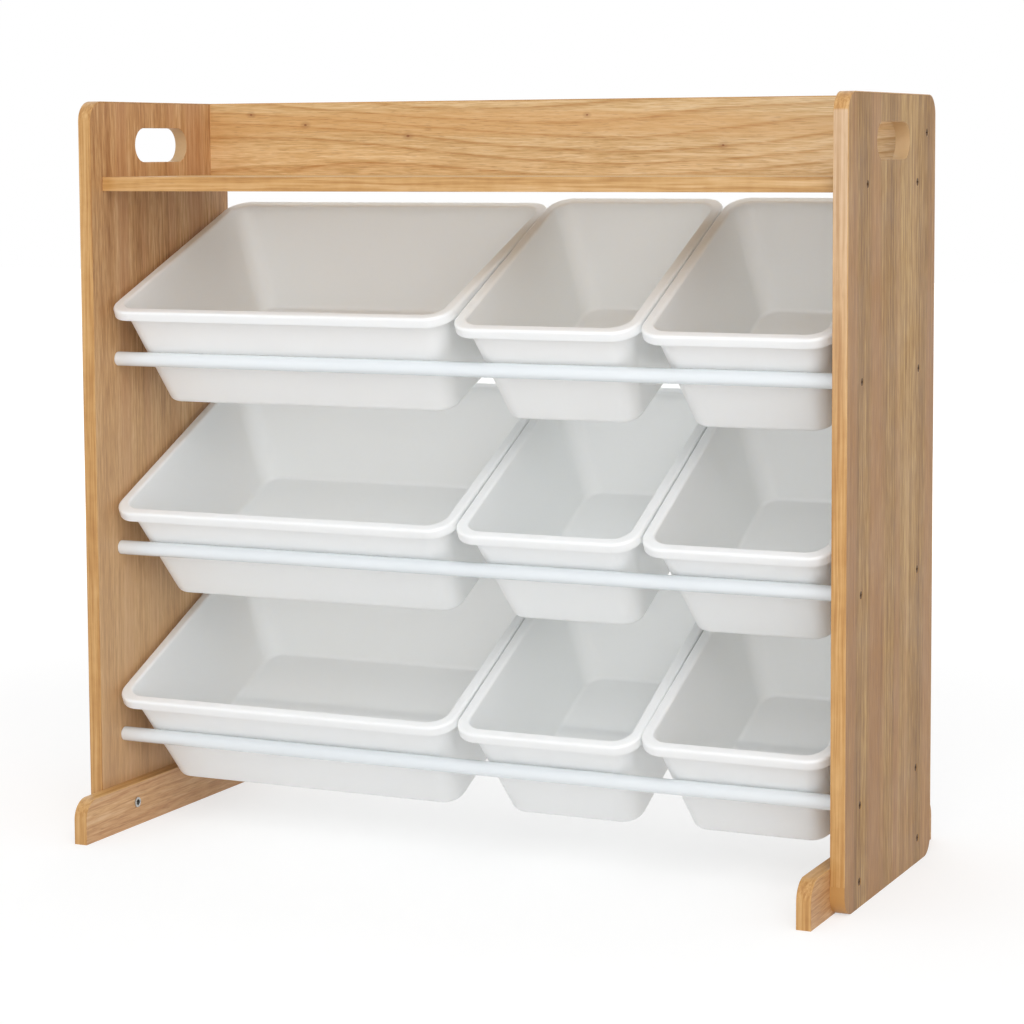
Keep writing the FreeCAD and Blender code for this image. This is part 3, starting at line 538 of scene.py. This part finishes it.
def bin_plastic(name):
    """Semi-gloss moulded polypropylene, a little cloudy and translucent."""
    material, tree, shader = new_material(name)
    point = object_point(tree)
    cloud = noise(tree, point, scale=BIN_CLOUDS, detail=1.0)
    specks = noise(tree, point, scale=BIN_SPECKS, detail=1.0)
    waves = noise(tree, point, scale=BIN_WAVES)
    set_colour(tree, shader, mix(tree, spread(tree, cloud, *CLOUD_LEVELS), BIN_WHITE, BIN_CREAM))
    set_roughness(tree, shader, cloud, CLOUD_LEVELS, BIN_ROUGHNESS)
    set_shader(shader, BIN_BODY)
    add_bump(tree, shader, specks, BIN_SPECK_RELIEF, RELIEF_STRENGTH)
    add_bump(tree, shader, waves, BIN_WAVE_RELIEF, BIN_WAVE_STRENGTH)
    return material


ROD_BLUE = (0.78, 0.825, 0.86)
ROD_MILK = (0.81, 0.85, 0.88)
ROD_CLOUDS = 5
ROD_LINES = (3, 900)
ROD_RELIEF, ROD_RELIEF_STRENGTH = 0.00002, 0.2
ROD_BODY = {"Coat Weight": 0.4, "Coat Roughness": 0.08, "Subsurface Weight": 0.3,
            "Subsurface Radius": (0.9, 0.95, 1.0), "Subsurface Scale": 0.002}


def rod_plastic(name):
    """Milky extruded sleeve, a little blue, with fine lines along it."""
    material, tree, shader = new_material(name)
    point = object_point(tree)
    lines = noise(tree, stretched(tree, point, *ROD_LINES, X))
    cloud = noise(tree, point, scale=ROD_CLOUDS)
    set_colour(tree, shader, mix(tree, spread(tree, cloud, *NOISE_LEVELS), ROD_BLUE, ROD_MILK))
    set_roughness(tree, shader, cloud, CLOUD_LEVELS, ROD_ROUGHNESS)
    set_shader(shader, ROD_BODY)
    add_bump(tree, shader, lines, ROD_RELIEF, ROD_RELIEF_STRENGTH)
    return material


NYLON_DARK = (0.70, 0.70, 0.67)
NYLON_LIGHT = (0.80, 0.80, 0.78)
NYLON_CLOUDS = 60
NYLON_ROUGHNESS = 0.5
NYLON_RELIEF, NYLON_RELIEF_STRENGTH = 0.0001, 0.4


def nylon(name):
    """Dull off-white nylon, for the rods' end plugs."""
    material, tree, shader = new_material(name)
    cloud = noise(tree, object_point(tree), scale=NYLON_CLOUDS, detail=3.0)
    set_colour(tree, shader, mix(tree, cloud, NYLON_DARK, NYLON_LIGHT))
    set_shader(shader, {"Roughness": NYLON_ROUGHNESS})
    add_bump(tree, shader, cloud, NYLON_RELIEF, NYLON_RELIEF_STRENGTH)
    return material


# ------------------------------------------------------------------------- metal
# Each metal: its darker and lighter tones, and its roughness
# Painted shade: the screws' dark brown tones stand in for the shade in their recesses.
SHADE_DARKENED_SCREW_METAL = ((0.095, 0.047, 0.017), (0.200, 0.104, 0.040), 0.45)
STEEL = ((0.45, 0.45, 0.45), (0.62, 0.62, 0.62), 0.35)
ZINC = ((0.42, 0.42, 0.40), (0.62, 0.62, 0.60), 0.30)
METAL_PATCHES = 260
METAL_PATCH_ROUGHNESS = 0.7
METAL_SMOOTHER, METAL_ROUGHER = 0.08, 0.12
SCRATCHES = (90, 2600)
SCRATCH_RELIEF = 0.00003


def metal(name, dark, light, roughness):
    """Plain metal, or metal painted dark brown as the shade in the screws' recesses, with fine
    scratches and duller patches.
    """
    material, tree, shader = new_material(name)
    point = object_point(tree)
    patches = noise(tree, point, scale=METAL_PATCHES, detail=4.0, roughness=METAL_PATCH_ROUGHNESS)
    scratches = noise(tree, stretched(tree, point, *SCRATCHES, X))
    set_colour(tree, shader, mix(tree, spread(tree, patches, *NOISE_LEVELS), dark, light))
    set_roughness(tree, shader, patches, NOISE_LEVELS,
                  (roughness - METAL_SMOOTHER, roughness + METAL_ROUGHER))
    set_shader(shader, {"Metallic": 1.0})
    add_bump(tree, shader, scratches, SCRATCH_RELIEF, RELIEF_STRENGTH)
    return material


# --------------------------------------------------------------- materials per piece
def paint(material, *nodes):
    """The named nodes take the material and no other."""
    for name in nodes:
        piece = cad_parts[name]
        piece.data.materials.clear()
        piece.data.materials.append(material)


def nodes_with(*words):
    """The names of the nodes that have one of the words in them."""
    return [name for name in sorted(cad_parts) if any(word in name for word in words)]


def paint_boards():
    """Each board's print, with a shift of its own so that no two boards match."""
    # The panels' palettes are painted light and shade of one laminate: brighter brown on the left
    # panel's inner face, darker olive on the right panel's outer face.
    paint(panel_wood("panel_left_wood", BROWN, BROWN_TINT, (0.0, 0.0, 0.0), paler=0.4),
          "side_panel_left")
    paint(panel_wood("panel_right_wood", SHADED_PANEL_TONES, SHADED_PANEL_TINT, (5.0, 3.0, 2.0)), "side_panel_right")
    paint(board_wood("shelf_wood", X, HONEY, HONEY_TINT, (1.0, 8.0, 0.0),
                     fineness=560, figure=0.5), "top_shelf")
    paint(rail_wood("rail_wood", HONEY, HONEY_TINT, (2.6, 0.0, 4.3)), "back_rail")
    paint(board_wood("foot_left_wood", Y, FOOT_BROWN, BROWN_TINT, (0.0, 6.0, 2.0),
                     fineness=600, figure=0.5), "foot_left")
    paint(board_wood("foot_right_wood", Y, BROWN, BROWN_TINT, (4.0, 2.0, 9.0),
                     fineness=600, figure=0.5), "foot_right")
    paint(board_wood("dowel_beech", X, BEECH, BEECH[0], (3.0, 1.0, 7.0)),
          "shelf_dowels", "rail_dowels")


def paint_bands():
    paint(band_wood("left_panel_band", Z, (2.2, 4.0, 6.5), turned=Y), "side_panel_left_edge_band")
    paint(band_wood("right_panel_band", Z, (0.0, 2.0, 5.0), turned=Y, pale=0.9),
          "side_panel_right_edge_band")
    paint(band_wood("lying_band", X, (7.0, 0.0, 1.0), BAND_LYING, changing=True),
          "top_shelf_edge_band", "back_rail_edge_band")
    paint(band_wood("foot_band", Y, (1.0, 5.0, 3.0), turned=Z),
          "foot_left_edge_band", "foot_right_edge_band")


def paint_plastics_and_metals():
    paint(bin_plastic("bin_plastic"), *nodes_with("bin_"))
    paint(rod_plastic("rod_plastic"), *nodes_with("rod_sleeve"))
    paint(nylon("plug_nylon"), *nodes_with("rod_end_plugs"))
    paint(metal("tube_steel", *STEEL), *nodes_with("rod_tube"))
    # The screws are painted dark, as shade in their recesses.
    paint(metal("screw_steel_painted_shade", *SHADE_DARKENED_SCREW_METAL), *nodes_with("screws", "bolts"))
    paint(metal("nut_zinc", *ZINC), *nodes_with("foot_nuts"))


# ------------------------------------------------------------------------- studio
WORLD_LIGHT = 0.70
WHITE = (1, 1, 1, 1)
FLOOR_WHITE = 0.90
FLOOR_SHADE = 0.45
FLOOR_LIFT_NEAR = 0.595
FLOOR_LIFT_FAR = 0.84
FLOOR_NEAR, FLOOR_FAR = 0.9, 3.0
FLOOR_SIZE = 24.0

# Softboxes: name, place, width, height and power in watts
SOFTBOX_TARGET = (0, 0, 0.4)
SOFTBOXES = (("front_softbox", (2.1, -3.8, 1.6), 3.0, 3.0, 61),
             ("key_softbox", (1.1, -2.5, 3.1), 2.8, 2.2, 27),
             ("back_softbox", (-1.3, 3.4, 1.1), 2.2, 2.0, 24))


def seen_directly(tree):
    """1 for camera, mirror and glass rays, and 0 for the light that falls on things."""
    path = add_node(tree, "ShaderNodeLightPath")
    camera, glossy, through = [path.outputs[f"Is {kind} Ray"]
                               for kind in ("Camera", "Glossy", "Transmission")]
    either = compute(tree, "MAXIMUM", camera, glossy)
    return compute(tree, "MAXIMUM", either, through)


def add_world():
    """Plain light from all round, before a white backdrop that adds none to it."""
    world = bpy.data.worlds.new("studio")
    bpy.context.scene.world = world
    world.use_nodes = True
    tree = world.node_tree
    lit = add_node(tree, "ShaderNodeBackground", {"Color": WHITE, "Strength": WORLD_LIGHT})
    shown = add_node(tree, "ShaderNodeBackground", {"Color": WHITE, "Strength": 1.0})
    either = add_node(tree, "ShaderNodeMixShader", {0: seen_directly(tree), 1: lit.outputs[0],
                                                    2: shown.outputs[0]})
    tree.links.new(either.outputs[0], tree.nodes["World Output"].inputs[0])


def add_floor():
    """A plain white floor that shows only the object's soft shadow."""
    bpy.ops.mesh.primitive_plane_add(size=FLOOR_SIZE)
    floor = bpy.context.object
    floor.name = "floor"
    material, tree, shader = new_material("floor_white")
    tree.nodes.remove(shader)
    lit = add_node(tree, "ShaderNodeBsdfDiffuse", {"Color": (*grey(FLOOR_WHITE), 1)})
    shade = add_node(tree, "ShaderNodeBsdfDiffuse", {"Color": (*grey(FLOOR_SHADE), 1)})
    away = vector_length(tree, object_point(tree))
    lift = spread(tree, away, FLOOR_NEAR, FLOOR_FAR, FLOOR_LIFT_NEAR, FLOOR_LIFT_FAR, smooth=True)
    glow = add_node(tree, "ShaderNodeEmission", {"Color": WHITE, "Strength": lift})
    shown = add_node(tree, "ShaderNodeAddShader", {0: shade.outputs[0], 1: glow.outputs[0]})
    either = add_node(tree, "ShaderNodeMixShader", {0: seen_directly(tree), 1: lit.outputs[0],
                                                    2: shown.outputs[0]})
    tree.links.new(either.outputs[0], tree.nodes["Material Output"].inputs[0])
    floor.data.materials.append(material)


def add_softbox(name, place, width, height, power):
    """A rectangular lamp, turned towards the object."""
    data = bpy.data.lights.new(name, "AREA")
    data.shape = "RECTANGLE"
    data.size, data.size_y = width, height
    data.energy = power
    lamp = bpy.data.objects.new(name, data)
    bpy.context.scene.collection.objects.link(lamp)
    lamp.location = place
    towards = Vector(SOFTBOX_TARGET) - Vector(place)
    lamp.rotation_euler = towards.to_track_quat("-Z", "Y").to_euler()


paint_boards()
paint_bands()
paint_plastics_and_metals()
add_world()
add_floor()
for softbox in SOFTBOXES:
    add_softbox(*softbox)
add_camera()
bpy.context.scene.view_settings.view_transform = "Standard"
